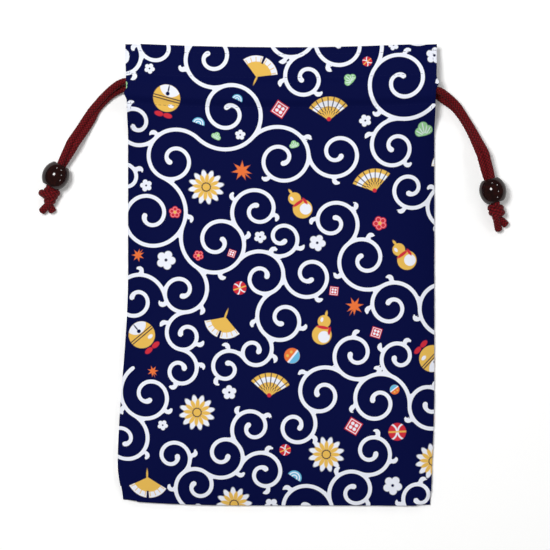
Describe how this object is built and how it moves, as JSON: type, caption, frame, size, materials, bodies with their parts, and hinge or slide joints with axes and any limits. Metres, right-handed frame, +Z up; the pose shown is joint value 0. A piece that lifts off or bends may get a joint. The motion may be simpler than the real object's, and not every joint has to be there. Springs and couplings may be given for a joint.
{
  "type": "drawstring bag",
  "caption": "Flat cotton drawstring bag with a deep stitched hem, a cord channel front and back, and doubled cords that end in a bead and a knot at each side.",
  "frame": {"origin": "middle of the bag's footprint, on the surface that it lies on, without its cords", "axes": "+Y from the bottom of the bag to its mouth, +Z up out of the front panel, +X to the right as the front is seen"},
  "size_m": [0.3018, 0.2955, 0.0172],
  "materials": {
    "cloth": "plain-woven navy cotton with a white and coloured print",
    "cord": "round braided cord, dark red",
    "bead": "polished, very dark brown"
  },
  "bodies": {
    "bag": {"front_panel": "cloth", "back_panel": "cloth", "left_cord": "cord", "right_cord": "cord", "left_knot": "cord", "right_knot": "cord"},
    "left_bead": {"left_bead": "bead"},
    "right_bead": {"right_bead": "bead"}
  },
  "joints": [
    {"name": "left_bead_slide", "type": "slide", "parent": "bag", "child": "left_bead", "axis": [0.4699, 0.8827, 0], "range_m": [0, 0.012]},
    {"name": "right_bead_slide", "type": "slide", "parent": "bag", "child": "right_bead", "axis": [-0.2599, 0.9656, 0], "range_m": [0, 0.012]}
  ]
}
